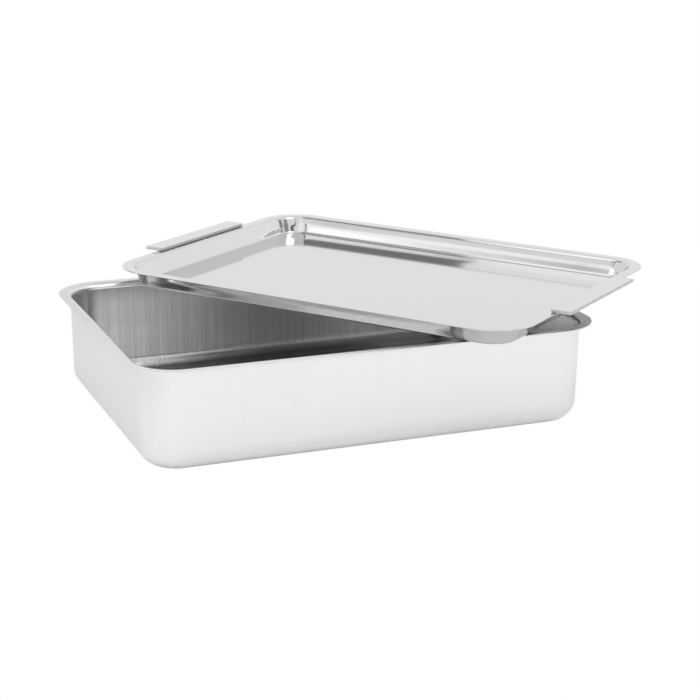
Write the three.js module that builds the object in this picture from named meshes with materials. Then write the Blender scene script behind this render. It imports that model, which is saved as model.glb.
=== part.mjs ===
// Covered instrument tray: a deep-drawn steel pan with its shallow tray lid lying askew across the rim.
// Millimetres, +Z up. The origin is the centre of the pan's flat underside, and +X runs along the
// pan's long side. The lid is as long and as wide as the pan, and carries two bar handles.
import * as THREE from 'three';

// Length and width that the pan and the lid share, measured at the outer edge of the flange
const LENGTH = 350;
const WIDTH = 255;
const SHEET = 0.9;

// The two drawn sheets. `corner` is the radius of the flange's outer corners, `flange` runs from its
// outer edge to the middle of the wall, `wallRun` is how far the wall leans inwards on its way down,
// and the bends are centreline radii.
const PAN = { height: 75, corner: 36, flange: 9, wallRun: 1, rimBend: 4.4, floorBend: 15.3 };
const LID = { height: 14.4, corner: 33, flange: 8.8, wallRun: 5.6, rimBend: 3, floorBend: 2.5 };

// Bar handles: flat bars with rounded corners, welded across the short sides of the lid's flange.
// Both sit BAR_OFFSET off the middle of those sides, towards the lid's front.
const BAR_LENGTH = 116;
const BAR_WIDTH = 16;
const BAR_THICKNESS = 2.4;
const BAR_CORNER = 1.5;
const BAR_EDGE = 0.5;
const BAR_OVERLAP = 4;
const BAR_OFFSET = 2.5;

// How the lid lies: flat on the pan's rim, turned away from its closed place
const LID_TURN = THREE.MathUtils.degToRad(-53.1);
const LID_CENTRE = new THREE.Vector2(71.7, 46);

const CLEARANCE = 0.3;
const CORNER_STEPS = 10;
const BEND_STEPS = 6;
const BAR_CORNER_STEPS = 3;
const QUARTER_TURN = Math.PI / 2;

const panSteel = new THREE.MeshStandardMaterial({ color: 0xd6d8da, roughness: 0.38, metalness: 1 });
const lidSteel = new THREE.MeshStandardMaterial({ color: 0xdcdde0, roughness: 0.16, metalness: 1 });
const handleSteel = new THREE.MeshStandardMaterial({ color: 0xd2d4d6, roughness: 0.28, metalness: 1 });

// The middle line of a dish's sheet, from the flange's outer edge down to the flat of the floor.
// x is the distance inwards from the outline, y is the height above the dish's underside.
function middleLine({ height, flange, wallRun, floorBend }) {
  const rimLevel = height - SHEET / 2;
  const floorLevel = SHEET / 2;
  const floorEdge = flange + wallRun;
  return [
    new THREE.Vector2(0, rimLevel),
    new THREE.Vector2(flange, rimLevel),
    new THREE.Vector2(floorEdge, floorLevel),
    new THREE.Vector2(floorEdge + floorBend, floorLevel),
  ];
}

// One skin of the sheet: the middle line moved sideways by `offset`, with its corners rounded about
// the bends' own centres, so that the sheet keeps its thickness round each bend.
function skin(line, bends, offset) {
  const directions = line.slice(1).map((point, index) => point.clone().sub(line[index]).normalize());
  const normals = directions.map((direction) => new THREE.Vector2(-direction.y, direction.x));
  const points = [line[0].clone().addScaledVector(normals[0], offset)];
  bends.forEach((bend, index) => {
    const before = normals[index];
    const after = normals[index + 1];
    const turn = Math.atan2(before.cross(after), before.dot(after));
    const side = Math.sign(turn);
    const centre = line[index + 1].clone()
      .addScaledVector(directions[index], -bend * Math.tan(Math.abs(turn) / 2))
      .addScaledVector(before, side * bend);
    for (let step = 0; step <= BEND_STEPS; step += 1) {
      const spoke = before.clone().rotateAround(new THREE.Vector2(), turn * step / BEND_STEPS);
      points.push(centre.clone().addScaledVector(spoke, offset - side * bend));
    }
  });
  points.push(line.at(-1).clone().addScaledVector(normals.at(-1), offset));
  return points;
}

// The section of a dish: up its outer skin from the floor to the flange, and back down the inner one
function dishSection(dish) {
  const line = middleLine(dish);
  const bends = [dish.rimBend, dish.floorBend];
  const inner = skin(line, bends, SHEET / 2);
  const outer = skin(line, bends, -SHEET / 2);
  return [...outer.reverse(), ...inner];
}

// A dish's outline as a ring of points, moved inwards by `inset` and lifted to `height`. Moving
// inwards keeps the centres of the four corners and makes their radius smaller.
function outlineRing(corner, inset, height) {
  const centreX = LENGTH / 2 - corner;
  const centreY = WIDTH / 2 - corner;
  const radius = corner - inset;
  const corners = [[1, 1], [-1, 1], [-1, -1], [1, -1]];
  return corners.flatMap(([sideX, sideY], quarter) => {
    const points = [];
    for (let step = 0; step <= CORNER_STEPS; step += 1) {
      const angle = (quarter + step / CORNER_STEPS) * QUARTER_TURN;
      const x = sideX * centreX + radius * Math.cos(angle);
      const y = sideY * centreY + radius * Math.sin(angle);
      points.push(new THREE.Vector3(x, y, height));
    }
    return points;
  });
}

// A dish: its section carried round the outline, closed by the two faces of the flat floor
function dishGeometry(dish) {
  const rings = dishSection(dish).map((point) => outlineRing(dish.corner, point.x, point.y));
  const ringSize = rings[0].length;
  const indices = [];
  for (let ring = 0; ring < rings.length - 1; ring += 1) {
    for (let step = 0; step < ringSize; step += 1) {
      const next = (step + 1) % ringSize;
      const low = ring * ringSize;
      const high = low + ringSize;
      indices.push(low + step, low + next, high + next);
      indices.push(low + step, high + next, high + step);
    }
  }
  const lastRing = (rings.length - 1) * ringSize;
  for (let step = 1; step < ringSize - 1; step += 1) {
    indices.push(0, step + 1, step);
    indices.push(lastRing, lastRing + step, lastRing + step + 1);
  }
  const geometry = new THREE.BufferGeometry().setFromPoints(rings.flat());
  geometry.setIndex(indices);
  geometry.computeVertexNormals();
  return geometry;
}

// A bar handle lying flat, centred on its own origin with its underside at zero height
function barGeometry() {
  const halfWidth = BAR_WIDTH / 2;
  const halfLength = BAR_LENGTH / 2;
  const plan = new THREE.Shape();
  plan.absarc(halfWidth - BAR_CORNER, halfLength - BAR_CORNER, BAR_CORNER, 0, QUARTER_TURN);
  plan.absarc(BAR_CORNER - halfWidth, halfLength - BAR_CORNER, BAR_CORNER, QUARTER_TURN, 2 * QUARTER_TURN);
  plan.absarc(BAR_CORNER - halfWidth, BAR_CORNER - halfLength, BAR_CORNER, 2 * QUARTER_TURN, 3 * QUARTER_TURN);
  plan.absarc(halfWidth - BAR_CORNER, BAR_CORNER - halfLength, BAR_CORNER, 3 * QUARTER_TURN, 4 * QUARTER_TURN);
  const geometry = new THREE.ExtrudeGeometry(plan, {
    depth: BAR_THICKNESS - 2 * BAR_EDGE,
    bevelThickness: BAR_EDGE,
    bevelSize: BAR_EDGE,
    bevelOffset: -BAR_EDGE,
    bevelSegments: 2,
    curveSegments: BAR_CORNER_STEPS,
  });
  return geometry.translate(0, 0, BAR_EDGE);
}

function makePan() {
  const pan = new THREE.Mesh(dishGeometry(PAN), panSteel);
  pan.name = 'pan';
  return pan;
}

function makeLidTray() {
  const tray = new THREE.Mesh(dishGeometry(LID), lidSteel);
  tray.name = 'lid_tray';
  return tray;
}

function makeHandle(name, side) {
  const handle = new THREE.Mesh(barGeometry(), handleSteel);
  const reach = LENGTH / 2 - BAR_OVERLAP + BAR_WIDTH / 2;
  handle.name = name;
  handle.position.set(side * reach, -BAR_OFFSET, LID.height + CLEARANCE);
  return handle;
}

// The lid: tray and handles together, laid on the pan's rim
function makeLid() {
  const lid = new THREE.Group();
  lid.add(makeLidTray(), makeHandle('handle_left', -1), makeHandle('handle_right', 1));
  lid.position.set(LID_CENTRE.x, LID_CENTRE.y, PAN.height + CLEARANCE);
  lid.rotation.z = LID_TURN;
  return lid;
}

const group = new THREE.Group();
group.add(makePan(), makeLid());

export default group;
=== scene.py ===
"""Covered instrument tray: a deep-drawn steel pan with its tray lid lying askew across the rim.

Metres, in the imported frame: the origin is the centre of the pan's underside, +X runs along the
pan's long side and +Z is up. Each drawn sheet is remade here as a fine surface with its true bends.
"""
import math

import bpy
from mathutils import Matrix, Vector


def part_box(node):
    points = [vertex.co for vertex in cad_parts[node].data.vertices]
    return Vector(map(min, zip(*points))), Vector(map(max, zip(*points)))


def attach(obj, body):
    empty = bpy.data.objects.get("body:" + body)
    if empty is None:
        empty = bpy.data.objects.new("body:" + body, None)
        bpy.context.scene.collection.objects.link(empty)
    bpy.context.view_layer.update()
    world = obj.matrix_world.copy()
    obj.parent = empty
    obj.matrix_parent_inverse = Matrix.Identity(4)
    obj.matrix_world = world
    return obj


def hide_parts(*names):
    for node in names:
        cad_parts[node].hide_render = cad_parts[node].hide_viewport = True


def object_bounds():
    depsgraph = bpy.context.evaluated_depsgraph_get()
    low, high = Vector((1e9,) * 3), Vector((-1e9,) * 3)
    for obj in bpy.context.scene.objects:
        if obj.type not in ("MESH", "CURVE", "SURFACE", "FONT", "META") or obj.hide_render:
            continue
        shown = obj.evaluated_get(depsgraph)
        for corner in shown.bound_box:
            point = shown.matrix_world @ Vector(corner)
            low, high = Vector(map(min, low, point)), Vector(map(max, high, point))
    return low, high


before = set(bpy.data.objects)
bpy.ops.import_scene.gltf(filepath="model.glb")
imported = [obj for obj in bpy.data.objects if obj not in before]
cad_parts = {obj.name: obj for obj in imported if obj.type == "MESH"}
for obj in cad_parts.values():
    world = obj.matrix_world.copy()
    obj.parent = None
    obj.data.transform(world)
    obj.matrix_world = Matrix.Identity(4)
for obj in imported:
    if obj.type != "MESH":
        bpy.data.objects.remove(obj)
cad_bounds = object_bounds()

# The drawn sheets. Insets run inwards from the flange's outer edge, and bends are middle-line radii.
SHEET = 0.0009
PAN_CORNER = 0.036
LID_CORNER = 0.033
PAN_SECTION = dict(flange=0.009, wall_run=0.001, rim_bend=0.0044, floor_bend=0.0153)
LID_SECTION = dict(flange=0.0088, wall_run=0.0056, rim_bend=0.003, floor_bend=0.0025,
                   bow=0.0005, bow_bend=0.03)
TRIMMED_EDGE = 0.0002
INNER_SIDE = "inner_side"

# The bar handles, which are as thick as their CAD nodes
BAR_LENGTH = 0.116
BAR_WIDTH = 0.016
BAR_CORNER = 0.0015
BAR_EDGE = 0.0005

# How finely the surfaces are divided
CORNER_STEPS = 20
SIDE_STEPS = 14
BEND_STEPS = 12
EDGE_STEPS = 3
SUPPORT = 0.0006

# Camera and light
LENS = 87.7
SENSOR = 36.0
CAMERA_DISTANCE = 1.34
CAMERA_YAW = math.radians(22.234)
CAMERA_PITCH = math.radians(-16.456)
CAMERA_ROLL = math.radians(0.591)
AIM_OFFSET = Vector((-0.0033, -0.0056, -0.0218))
CAMERA_REACH = 100.0
FLOOR_SIZE = 24.0
FLOOR_GAP = 0.0002
LIGHT_BOUNCES = 16
GLOSSY_BOUNCES = 12

# Light levels of the studio, as its reflections see it. A patch is azimuth and elevation, the angles
# from there at which it starts to fade and is gone, and its level. Later ones lie over earlier ones.
NEUTRAL = (1.0, 1.0, 1.0)
SWEEP_LEVEL = 1.0
CEILING_LEVEL = 0.9
CEILING_RISE = (0.84, 0.94)
STUDIO_PATCHES = [
    (-76, 52, 11, 18, 1.45),
    (-80, 72, 10, 16, 1.5),
    (-96, 49, 4, 9, 1.6),
    (-90, 34, 3, 8, 0.8),
    (-96, 27, 3, 8, 1.3),
    (-86, 12, 9, 15, 1.8),
    (-58, 5, 6, 10, 0.3),
    (186, 36, 8, 12, 0.2),
    (178, 22, 6, 10, 0.2),
    (-135, 25, 12, 18, 1.2),
    (-107, 17, 4, 8, 0.6),
    (-108, 28, 2, 6, 0.3),
    (118, 24, 6, 11, 0.35),
    (86, 10, 12, 24, 1.1),
    (63, 33, 8, 16, 1.05),
    (158, 57, 8, 17, 4.2),
    (146, 26, 9, 14, 0.35),
    (180, 44, 9, 14, 1.0),
]
POOL_CENTRE = (0.06, -0.25, 0)
POOL_FADE = (0.26, 0.64)
POOL_EDGE_LEVEL = 0.79
FLOOR_TONE = 0.95
FLOOR_GLOW = 0.14

# Two dark cards over the left of the object, which the camera can't see: centre, size, turn, level
CARDS = {
    "far_card": (Vector((-0.197, 0.352, 0.535)), (0.353, 0.36), math.radians(28.5), 0.3),
    "near_card": (Vector((-0.495, 0.135, 0.6)), (0.27, 0.11), math.radians(-37.5), 0.2),
}

# Steel finishes: tone and roughness levels, cell sizes in metres and bump depths in metres. The
# streaks run up the pan's walls and along its floor, along the lid, and along the bars. A dish's
# inner side and a bar's top have levels of their own. Their lighter tone is painted light: it
# brightens the pan's shaded inside, and leaves the lid's underside and the bars' sides and
# undersides darker as painted shade. LEVEL_RISE is the rise of a face's normal where the face
# starts to count as level and where it fully does.
NOISE_SPREAD = (0.3, 0.7)
LEVEL_RISE = (0.5, 0.9)
STEEL_TINT = (1.0, 1.0, 1.012)
CLOUD_CELLS = (0.07, 0.07, 0.07)
WAVE_CELLS = (0.2, 0.2, 0.2)
# Each inner tone below is painted light: it is set lighter than the tone of the same steel.
PAN_LOOK = dict(tone=0.72, tone_swing=0.006, roughness=(0.28, 0.34), anisotropy=0.7,
                inner_painted_light_tone=0.88, inner_swing=0.09, inner_roughness=0.25,
                streak_cells=(0.002, 0.002, 0.3), level_streak_cells=(0.3, 0.002, 0.3),
                streak_depth=2e-5,
                grain_cells=(0.0007, 0.0007, 0.08), grain_depth=1e-6, wave_depth=0.0002)
LID_LOOK = dict(tone=0.45, tone_swing=0.004, roughness=(0.07, 0.09), anisotropy=0.0,
                inner_painted_light_tone=0.65, inner_swing=0.002, inner_roughness=0.08,
                streak_cells=(0.12, 0.005, 0.005), streak_depth=1e-7,
                grain_cells=(0.03, 0.0008, 0.0008), grain_depth=1e-7, wave_depth=0.0001)
HANDLE_LOOK = dict(tone=0.50, tone_swing=0.01, roughness=(0.26, 0.34), anisotropy=0.0,
                   inner_painted_light_tone=0.67, inner_swing=0.004, inner_roughness=0.21,
                   streak_cells=(0.003, 0.15, 0.003), streak_depth=1e-6,
                   grain_cells=(0.0007, 0.05, 0.0007), grain_depth=1e-6, wave_depth=0.0001)


# ---------------------------------------------------------------- places taken from the frame

def middle(node):
    low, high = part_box(node)
    return (low + high) / 2


def node_height(node):
    low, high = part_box(node)
    return high.z - low.z


def lid_placement():
    """The lid's own frame: centred on the tray's underside, +X from the left bar to the right one."""
    low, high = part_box("lid_tray")
    across = middle("handle_right") - middle("handle_left")
    turn = math.atan2(across.y, across.x)
    centre = Vector(((low.x + high.x) / 2, (low.y + high.y) / 2, low.z))
    return Matrix.Translation(centre) @ Matrix.Rotation(turn, 4, "Z")


# ---------------------------------------------------------------- sections of the drawn sheets

def turned(vector, angle):
    return Vector((vector.x * math.cos(angle) - vector.y * math.sin(angle),
                   vector.x * math.sin(angle) + vector.y * math.cos(angle)))


def middle_line(height, flange, wall_run, floor_bend, bow):
    """The sheet's middle line, from the flange's outer edge to the flat of the floor.

    A bowed wall bulges inwards by `bow` at half its height.
    """
    rim_level = height - SHEET / 2
    floor_edge = flange + wall_run
    bulge = [Vector((flange + wall_run / 2 + bow, height / 2))] if bow else []
    return [
        Vector((0, rim_level)),
        Vector((flange, rim_level)),
        *bulge,
        Vector((floor_edge, SHEET / 2)),
        Vector((floor_edge + floor_bend + SUPPORT, SHEET / 2)),
    ]


def skin(line, bends, offset):
    """One skin of the sheet, `offset` to the left of its middle line, with true bends.

    Each flat stretch gets a support point near its ends, so that its shading stays flat.
    """
    directions = [(after - before).normalized() for before, after in zip(line, line[1:])]
    normals = [Vector((-direction.y, direction.x)) for direction in directions]
    edge_round = directions[0] * TRIMMED_EDGE
    points = [line[0] + normals[0] * offset + edge_round]
    points.append(points[0] + directions[0] * SUPPORT)
    for index, bend in enumerate(bends):
        before, after = normals[index], normals[index + 1]
        turn = -before.angle_signed(after)
        side = math.copysign(1, turn)
        tangent = bend * math.tan(abs(turn) / 2)
        corner = line[index + 1] - directions[index] * tangent
        centre = corner + before * side * bend
        start = corner + before * offset
        points.append(start - directions[index] * SUPPORT)
        for step in range(BEND_STEPS + 1):
            spoke = turned(before, turn * step / BEND_STEPS)
            points.append(centre + spoke * (offset - side * bend))
        points.append(points[-1] + directions[index + 1] * SUPPORT)
    return points


def trimmed_edge(line):
    """The sheet's cut edge at the flange, with its two arrises just broken."""
    inwards = (line[1] - line[0]).normalized()
    normal = Vector((-inwards.y, inwards.x))
    half = SHEET / 2 - TRIMMED_EDGE
    points = []
    for side in (-1, 1):
        centre = line[0] + inwards * TRIMMED_EDGE + normal * half * side
        for step in range(1, EDGE_STEPS):
            sweep = math.pi / 2 * (step / EDGE_STEPS if side < 0 else 1 - step / EDGE_STEPS)
            spoke = -inwards * math.sin(sweep) + normal * side * math.cos(sweep)
            points.append(centre + spoke * TRIMMED_EDGE)
    return points


def dish_section(height, flange, wall_run, rim_bend, floor_bend, bow=0, bow_bend=0):
    """Up the outer skin from the floor to the flange, and back down the inner skin."""
    line = middle_line(height, flange, wall_run, floor_bend, bow)
    bends = [rim_bend, bow_bend, floor_bend] if bow else [rim_bend, floor_bend]
    outer = skin(line, bends, -SHEET / 2)
    inner = skin(line, bends, SHEET / 2)
    return outer[::-1] + trimmed_edge(line) + inner


def bar_section(thickness):
    """Up the side of a bar from its underside to its top, with both edges rounded."""
    points = [Vector((BAR_EDGE + SUPPORT, 0))]
    for step in range(EDGE_STEPS + 1):
        sweep = math.pi / 2 * step / EDGE_STEPS
        points.append(Vector((1 - math.sin(sweep), 1 - math.cos(sweep))) * BAR_EDGE)
    upper = [Vector((point.x, thickness - point.y)) for point in reversed(points)]
    return points + upper


# ---------------------------------------------------------------- surfaces

def outline_ring(length, width, corner, inset, height):
    """A rounded rectangle as a ring of points, `inset` inside its outline and `height` up."""
    reach = Vector((length / 2 - corner, width / 2 - corner))
    radius = corner - inset
    sides = [(1, 1), (-1, 1), (-1, -1), (1, -1)]
    corners = []
    for quarter, (side_x, side_y) in enumerate(sides):
        arc = []
        for step in range(CORNER_STEPS + 1):
            angle = (quarter + step / CORNER_STEPS) * math.pi / 2
            arc.append(Vector((side_x * reach.x + radius * math.cos(angle),
                               side_y * reach.y + radius * math.sin(angle), height)))
        corners.append(arc)
    ring = []
    for arc, following in zip(corners, corners[1:] + corners[:1]):
        ring += arc
        ring += [arc[-1].lerp(following[0], step / SIDE_STEPS) for step in range(1, SIDE_STEPS)]
    return ring


def link_mesh(name, mesh):
    piece = bpy.data.objects.new(name, mesh)
    bpy.context.scene.collection.objects.link(piece)
    return piece


def level_sheet(name, length, width):
    """A single level face, centred on the origin."""
    x, y = length / 2, width / 2
    mesh = bpy.data.meshes.new(name)
    mesh.from_pydata([(-x, -y, 0), (x, -y, 0), (x, y, 0), (-x, y, 0)], [], [(0, 1, 2, 3)])
    return link_mesh(name, mesh)


def ring_stack(name, section, length, width, corner, inner_inset=0):
    """A closed body from a section carried round an outline, with a flat face at each end.

    The second half of the section is its inner side. It is marked from `inner_inset` inwards.
    """
    first_inner = len(section) // 2
    while section[first_inner].x < inner_inset:
        first_inner += 1
    rings = [outline_ring(length, width, corner, point.x, point.y) for point in section]
    size = len(rings[0])
    faces = [tuple(reversed(range(size)))]
    for level in range(len(rings) - 1):
        low, high = level * size, (level + 1) * size
        for step in range(size):
            following = (step + 1) % size
            faces.append((low + step, low + following, high + following, high + step))
    last = (len(rings) - 1) * size
    faces.append(tuple(range(last, last + size)))
    mesh = bpy.data.meshes.new(name)
    mesh.from_pydata([point for ring in rings for point in ring], [], faces)
    mesh.update()
    mesh.shade_smooth()
    inner_side = mesh.attributes.new(INNER_SIDE, "FLOAT", "POINT")
    for index, vertex in enumerate(inner_side.data):
        vertex.value = index // size >= first_inner
    return link_mesh(name, mesh)


# ---------------------------------------------------------------- node helpers

def add_node(tree, kind, **settings):
    """A new node, with each setting given to the input of that name, or else to the node itself."""
    node = tree.nodes.new(kind)
    for name, value in settings.items():
        if name in node.inputs:
            node.inputs[name].default_value = value
        else:
            setattr(node, name, value)
    return node


def feed(tree, value, socket):
    """Links an output to a socket, or sets the socket to a plain value."""
    if isinstance(value, bpy.types.NodeSocket):
        tree.links.new(value, socket)
    else:
        socket.default_value = value


def calculate(tree, operation, first, second):
    node = add_node(tree, "ShaderNodeMath", operation=operation)
    feed(tree, first, node.inputs[0])
    feed(tree, second, node.inputs[1])
    return node.outputs["Value"]


def remap(tree, value, old, new, smooth=False):
    """Maps the range `old` to the range `new`, and holds its ends beyond it."""
    node = add_node(tree, "ShaderNodeMapRange")
    node.interpolation_type = "SMOOTHSTEP" if smooth else "LINEAR"
    node.inputs["From Min"].default_value, node.inputs["From Max"].default_value = old
    node.inputs["To Min"].default_value, node.inputs["To Max"].default_value = new
    tree.links.new(value, node.inputs["Value"])
    return node.outputs["Result"]


def mix_value(tree, factor, first, second):
    node = add_node(tree, "ShaderNodeMix", data_type="FLOAT")
    feed(tree, factor, node.inputs["Factor"])
    feed(tree, first, node.inputs["A"])
    feed(tree, second, node.inputs["B"])
    return node.outputs["Result"]


def tinted(tree, value, tint):
    """A grey level turned into a colour that leans a little to `tint`."""
    node = add_node(tree, "ShaderNodeVectorMath", operation="SCALE")
    node.inputs[0].default_value = tint
    feed(tree, value, node.inputs["Scale"])
    return node.outputs["Vector"]


def new_material(name):
    material = bpy.data.materials.new(name)
    material.use_nodes = True
    return material, material.node_tree


# ---------------------------------------------------------------- materials

def noise(tree, place, cells, turn=0.0, detail=2.0):
    """Noise from 0 to 1 whose cells are `cells` metres along the piece's own axes."""
    mapping = add_node(tree, "ShaderNodeMapping", vector_type="TEXTURE", Scale=cells)
    mapping.inputs["Rotation"].default_value.z = turn
    texture = add_node(tree, "ShaderNodeTexNoise", Scale=1.0, Detail=detail)
    tree.links.new(place, mapping.inputs["Vector"])
    tree.links.new(mapping.outputs["Vector"], texture.inputs["Vector"])
    return remap(tree, texture.outputs["Fac"], NOISE_SPREAD, (0, 1))


def bump(tree, height, depth, under=None):
    node = add_node(tree, "ShaderNodeBump", Strength=1.0, Distance=depth)
    tree.links.new(height, node.inputs["Height"])
    if under is not None:
        tree.links.new(under, node.inputs["Normal"])
    return node.outputs["Normal"]


def levelness(tree, normal):
    """0 on an upright face and 1 on a level one."""
    split = add_node(tree, "ShaderNodeSeparateXYZ")
    tree.links.new(normal, split.inputs["Vector"])
    rise = calculate(tree, "ABSOLUTE", split.outputs["Z"], 0)
    return remap(tree, rise, LEVEL_RISE, (0, 1))


def around(level, swing):
    return (level - swing, level + swing)


def tone_and_polish(tree, look, streak, cloud):
    """The steel's tone and roughness, each with a level of its own on the marked inner side, whose
    lighter tone is painted light.
    """
    tone = remap(tree, streak, (0, 1), around(look["tone"], look["tone_swing"]))
    polish = remap(tree, calculate(tree, "ADD", streak, cloud), (0, 2), look["roughness"])
    within = add_node(tree, "ShaderNodeAttribute", attribute_name=INNER_SIDE).outputs["Fac"]
    # painted light: the marked inner side gets a lighter tone than the rest of the same steel
    inner_painted_light_tone = remap(tree, streak, (0, 1), around(look["inner_painted_light_tone"], look["inner_swing"]))
    return (mix_value(tree, within, tone, inner_painted_light_tone),
            mix_value(tree, within, polish, look["inner_roughness"]))


def steel(name, look, turn=0.0):
    """Stainless sheet: fine grain over broader streaks and slow waves, with an uneven polish.

    `look` holds the levels and the cell sizes; the marked inner side's lighter tone is painted light.
    Streaks may run another way on level faces.
    """
    material, tree = new_material(name)
    shader = tree.nodes["Principled BSDF"]
    shader.inputs["Metallic"].default_value = 1.0
    shader.inputs["Anisotropic"].default_value = look["anisotropy"]
    coordinates = add_node(tree, "ShaderNodeTexCoord")
    place = coordinates.outputs["Object"]

    streak = noise(tree, place, look["streak_cells"], turn, detail=4.0)
    if "level_streak_cells" in look:
        level_streak = noise(tree, place, look["level_streak_cells"], turn, detail=4.0)
        streak = mix_value(tree, levelness(tree, coordinates.outputs["Normal"]), streak, level_streak)
    grain = noise(tree, place, look["grain_cells"], turn)
    cloud = noise(tree, place, CLOUD_CELLS, turn, detail=3.0)
    wave = noise(tree, place, WAVE_CELLS, turn, detail=0.0)

    tone, polish = tone_and_polish(tree, look, streak, cloud)
    tree.links.new(tinted(tree, tone, STEEL_TINT), shader.inputs["Base Color"])
    tree.links.new(polish, shader.inputs["Roughness"])

    normal = bump(tree, wave, look["wave_depth"])
    normal = bump(tree, streak, look["streak_depth"], normal)
    normal = bump(tree, grain, look["grain_depth"], normal)
    tree.links.new(normal, shader.inputs["Normal"])
    return material


# ---------------------------------------------------------------- pieces

def finish_piece(piece, body, node, material):
    piece.data.materials.append(material)
    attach(piece, body)
    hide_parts(node)


def make_pan(material):
    low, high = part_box("pan")
    section = dish_section(node_height("pan"), **PAN_SECTION)
    pan = ring_stack("drawn_pan", section, high.x - low.x, high.y - low.y, PAN_CORNER,
                     inner_inset=PAN_SECTION["flange"])
    pan.data.transform(Matrix.Translation(((low.x + high.x) / 2, (low.y + high.y) / 2, low.z)))
    finish_piece(pan, "base_pan", "pan", material)


def make_lid(material, placement):
    """The lid's outline is as long and as wide as the pan's."""
    low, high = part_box("pan")
    section = dish_section(node_height("lid_tray"), **LID_SECTION)
    tray = ring_stack("drawn_lid", section, high.x - low.x, high.y - low.y, LID_CORNER)
    tray.data.transform(placement)
    finish_piece(tray, "lid", "lid_tray", material)


def make_bar(material, node, turn):
    bar = ring_stack("bar_" + node, bar_section(node_height(node)), BAR_WIDTH, BAR_LENGTH, BAR_CORNER,
                     inner_inset=BAR_EDGE)
    low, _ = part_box(node)
    centre = middle(node)
    bar.data.transform(Matrix.Translation((centre.x, centre.y, low.z)) @ Matrix.Rotation(turn, 4, "Z"))
    finish_piece(bar, "lid", node, material)


# ---------------------------------------------------------------- studio

def direction(azimuth, elevation):
    """Unit vector: azimuth from +Y towards +X, elevation up."""
    return Vector((math.sin(azimuth) * math.cos(elevation),
                   math.cos(azimuth) * math.cos(elevation),
                   math.sin(elevation)))


def make_camera():
    low, high = (Vector(corner) for corner in cad_bounds)
    view = direction(CAMERA_YAW, CAMERA_PITCH)
    aim = (low + high) / 2 + AIM_OFFSET
    camera = bpy.data.objects.new("camera", bpy.data.cameras.new("camera"))
    bpy.context.scene.collection.objects.link(camera)
    camera.data.lens = LENS
    camera.data.sensor_width = SENSOR
    camera.data.clip_end = CAMERA_REACH
    camera.location = aim - view * CAMERA_DISTANCE
    camera.rotation_mode = "QUATERNION"
    facing = view.to_track_quat("-Z", "Y").to_matrix().to_4x4()
    roll = Matrix.Rotation(CAMERA_ROLL, 4, "Z")
    camera.rotation_quaternion = (facing @ roll).to_quaternion()
    bpy.context.scene.camera = camera


def camera_ray(tree):
    return add_node(tree, "ShaderNodeLightPath").outputs["Is Camera Ray"]


def lit_patch(tree, place, azimuth, elevation, core, edge):
    """1 in the part of the studio within `core` degrees of a direction, fading to 0 at `edge`."""
    toward = direction(math.radians(azimuth), math.radians(elevation))
    spread = add_node(tree, "ShaderNodeVectorMath", operation="DOT_PRODUCT")
    spread.inputs[1].default_value = toward
    tree.links.new(place, spread.inputs[0])
    limits = (math.cos(math.radians(edge)), math.cos(math.radians(core)))
    return remap(tree, spread.outputs["Value"], limits, (0, 1), smooth=True)


def make_world():
    """A white sweep under a slightly darker ceiling, with brighter and darker patches in both.

    The camera sees plain white.
    """
    world = bpy.data.worlds.new("studio")
    world.use_nodes = True
    tree = world.node_tree
    background = tree.nodes["Background"]
    place = add_node(tree, "ShaderNodeTexCoord").outputs["Generated"]
    split = add_node(tree, "ShaderNodeSeparateXYZ")
    tree.links.new(place, split.inputs["Vector"])
    level = remap(tree, split.outputs["Z"], CEILING_RISE, (SWEEP_LEVEL, CEILING_LEVEL), smooth=True)
    for azimuth, elevation, core, edge, patch_level in STUDIO_PATCHES:
        patch = lit_patch(tree, place, azimuth, elevation, core, edge)
        level = mix_value(tree, patch, level, patch_level)
    level = mix_value(tree, camera_ray(tree), level, 1.0)
    tree.links.new(tinted(tree, level, NEUTRAL), background.inputs["Color"])
    bpy.context.scene.world = world


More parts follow.
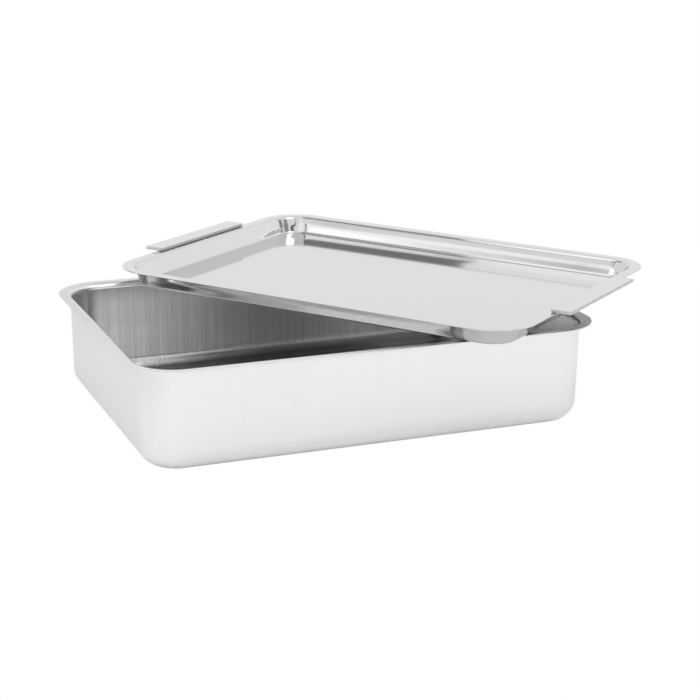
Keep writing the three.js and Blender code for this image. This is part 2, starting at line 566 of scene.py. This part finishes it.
def floor_white():
    """Plain white to the camera, and a pool of light that fades outwards to everything else."""
    material, tree = new_material("floor_white")
    shader = tree.nodes["Principled BSDF"]
    shader.inputs["Roughness"].default_value = 1.0
    shader.inputs["Specular IOR Level"].default_value = 0.0
    shader.inputs["Emission Color"].default_value = (1, 1, 1, 1)
    place = add_node(tree, "ShaderNodeTexCoord").outputs["Object"]
    reach = add_node(tree, "ShaderNodeVectorMath", operation="DISTANCE")
    reach.inputs[1].default_value = POOL_CENTRE
    tree.links.new(place, reach.inputs[0])
    pool = remap(tree, reach.outputs["Value"], POOL_FADE, (1, POOL_EDGE_LEVEL), smooth=True)
    tone = calculate(tree, "MULTIPLY", pool, FLOOR_TONE)
    glow = calculate(tree, "MULTIPLY", pool, FLOOR_GLOW)
    tree.links.new(tinted(tree, tone, NEUTRAL), shader.inputs["Base Color"])
    tree.links.new(glow, shader.inputs["Emission Strength"])
    plain = add_node(tree, "ShaderNodeEmission")
    choice = add_node(tree, "ShaderNodeMixShader")
    tree.links.new(camera_ray(tree), choice.inputs[0])
    tree.links.new(shader.outputs[0], choice.inputs[1])
    tree.links.new(plain.outputs[0], choice.inputs[2])
    tree.links.new(choice.outputs[0], tree.nodes["Material Output"].inputs["Surface"])
    return material


def make_floor():
    floor = level_sheet("floor", FLOOR_SIZE, FLOOR_SIZE)
    floor.data.materials.append(floor_white())
    floor.location.z = -FLOOR_GAP


def card_grey(name, level):
    material, tree = new_material(name + "_grey")
    glow = add_node(tree, "ShaderNodeEmission", Strength=level)
    tree.links.new(glow.outputs[0], tree.nodes["Material Output"].inputs["Surface"])
    return material


def make_card(name, centre, size, turn, level):
    """A dark card lying level in the air, which only shows in the steel."""
    card = level_sheet(name, *size)
    card.data.transform(Matrix.Translation(centre) @ Matrix.Rotation(turn, 4, "Z"))
    card.data.materials.append(card_grey(name, level))
    card.visible_camera = False
    card.visible_shadow = False
    card.visible_diffuse = False


make_camera()
make_world()
make_floor()
for name, card in CARDS.items():
    make_card(name, *card)

lid_place = lid_placement()
lid_turn = lid_place.to_euler().z
bar_steel = steel("handle_steel", HANDLE_LOOK, lid_turn)
make_pan(steel("pan_steel", PAN_LOOK))
make_lid(steel("lid_steel", LID_LOOK, lid_turn), lid_place)
make_bar(bar_steel, "handle_left", lid_turn)
make_bar(bar_steel, "handle_right", lid_turn)

scene = bpy.context.scene
scene.view_settings.view_transform = "Standard"
scene.cycles.use_denoising = True
scene.cycles.max_bounces = LIGHT_BOUNCES
scene.cycles.glossy_bounces = GLOSSY_BOUNCES

bpy.context.view_layer.update()
